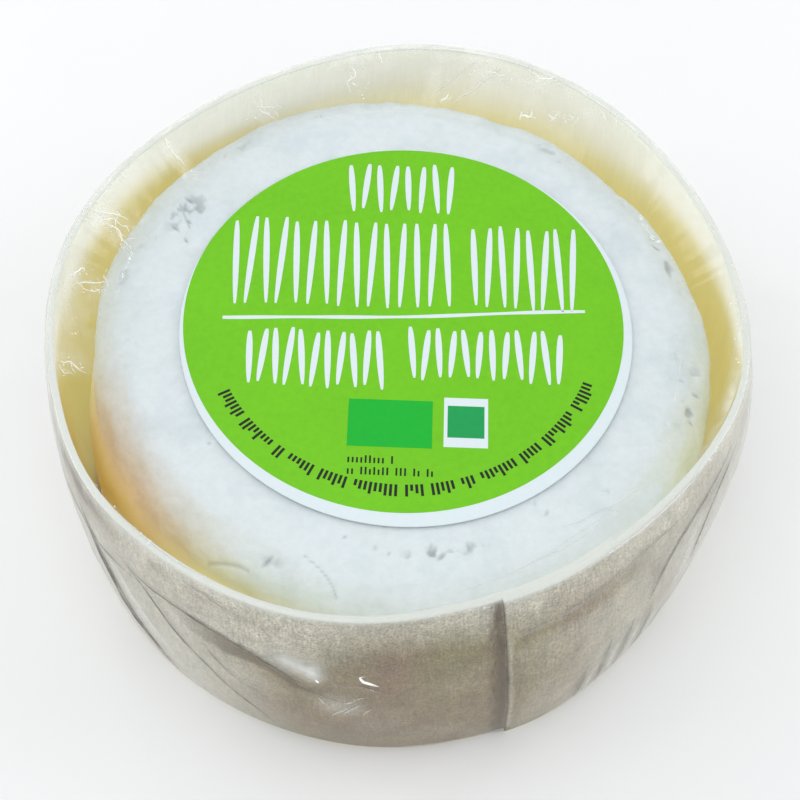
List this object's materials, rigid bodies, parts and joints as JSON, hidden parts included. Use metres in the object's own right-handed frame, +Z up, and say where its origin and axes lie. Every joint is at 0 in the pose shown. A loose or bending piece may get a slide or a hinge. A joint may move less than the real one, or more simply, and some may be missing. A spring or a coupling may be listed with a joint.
{
  "type": "boxed soft cheese wheel",
  "caption": "Small soft-ripened cheese wheel with a white rind in its open round veneer box, wrapped in clear film, with a plain green round paper label on top.",
  "frame": {"origin": "middle of the box's outline, on the surface that its foot stands on", "axes": "+Z up through the cheese and its label, +Y towards the back, +X to the right; the veneer's lap seam is at the front right"},
  "size_m": [0.0904, 0.0902, 0.0393],
  "materials": {
    "veneer": "pale raw poplar veneer, greyer outside, cream to amber inside",
    "rind": "soft white bloomy rind, matt, with small pits and ivory edges",
    "clear_film": "thin clear glossy film with creases",
    "label_paper": "satin coated paper, bright green print with a white edge"
  },
  "bodies": {
    "root": {"box_hoop": "veneer", "box_base": "veneer", "cheese_wheel": "rind", "film_wrap": "clear_film", "label": "label_paper"}
  },
  "joints": []
}
